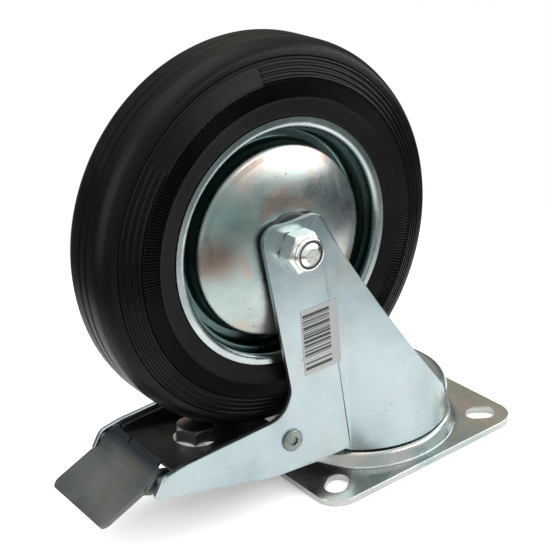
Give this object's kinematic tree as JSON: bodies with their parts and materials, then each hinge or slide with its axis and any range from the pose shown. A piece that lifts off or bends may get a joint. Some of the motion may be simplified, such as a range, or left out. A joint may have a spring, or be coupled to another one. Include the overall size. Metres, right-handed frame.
{
  "type": "braked swivel castor",
  "caption": "Swivel castor with a rubber-tyred steel wheel, pressed zinc-plated fork, foot brake and slotted rectangular mounting plate.",
  "frame": {"origin": "centre of the plate's mounting face, on the swivel axis", "axes": "+Z from the plate to the wheel, axle along Y, brake pedal towards -X"},
  "size_m": [0.2509, 0.112, 0.24],
  "materials": {
    "zinc_plate": "bright blue-passivated zinc plating",
    "steel_fastener": "bright zinc plating",
    "bearing_steel": "polished",
    "black_steel": "black",
    "black_rubber": "matt moulded rubber",
    "black_plastic": "matt",
    "label_paper": "matt printed label"
  },
  "bodies": {
    "plate": {"mounting_plate": "zinc_plate", "kingpin": "steel_fastener", "race_cup": "zinc_plate", "kingpin_nut": "steel_fastener", "dust_seal": "black_plastic"},
    "main_ball_ring": {"main_balls": "bearing_steel"},
    "upper_ball_ring": {"upper_balls": "bearing_steel"},
    "fork": {"fork": "zinc_plate", "axle_bolt": "steel_fastener", "axle_nut": "steel_fastener", "nut_insert": "black_plastic", "axle_sleeve": "steel_fastener", "brake_rivets": "steel_fastener", "pedal_pin": "steel_fastener", "leg_label": "label_paper"},
    "wheel": {"tyre": "black_rubber", "rim_band": "zinc_plate", "wheel_disc_left": "zinc_plate", "wheel_disc_right": "zinc_plate", "hub_tube": "zinc_plate", "hub_caps": "black_plastic"},
    "roller_set": {"roller_cage": "black_plastic", "bearing_rollers": "bearing_steel"},
    "brake_lever": {"brake_lever": "black_steel", "brake_bolt": "steel_fastener", "brake_washer": "steel_fastener", "brake_lock_nut": "steel_fastener"},
    "pedal": {"brake_pedal": "zinc_plate"}
  },
  "joints": [
    {"name": "swivel", "type": "hinge", "parent": "plate", "child": "fork", "pos_m": [0, 0, 0], "axis": [0, 0, 1], "continuous": true},
    {"name": "main_ball_turn", "type": "hinge", "parent": "plate", "child": "main_ball_ring", "pos_m": [0, 0, 0], "axis": [0, 0, 1], "continuous": true},
    {"name": "upper_ball_turn", "type": "hinge", "parent": "plate", "child": "upper_ball_ring", "pos_m": [0, 0, 0], "axis": [0, 0, 1], "continuous": true},
    {"name": "wheel_spin", "type": "hinge", "parent": "fork", "child": "wheel", "pos_m": [-0.0616, 0, 0.14], "axis": [0, 1, 0], "continuous": true},
    {"name": "roller_turn", "type": "hinge", "parent": "fork", "child": "roller_set", "pos_m": [-0.0616, 0, 0.14], "axis": [0, 1, 0], "continuous": true},
    {"name": "pedal_press", "type": "hinge", "parent": "fork", "child": "pedal", "pos_m": [-0.1485, 0, 0.0425], "axis": [0, 1, 0], "range_deg": [0, 26]},
    {"name": "lever_swing", "type": "hinge", "parent": "fork", "child": "brake_lever", "pos_m": [-0.0733, 0, 0.036], "axis": [0, 1, 0], "range_deg": [0, 3.7]}
  ],
  "couplings": [
    {"joint": "main_ball_turn", "follows": "swivel", "ratio": 0.5},
    {"joint": "upper_ball_turn", "follows": "swivel", "ratio": 0.5},
    {"joint": "roller_turn", "follows": "wheel_spin", "ratio": 0.6},
    {"joint": "lever_swing", "follows": "pedal_press", "ratio": 0.14}
  ]
}
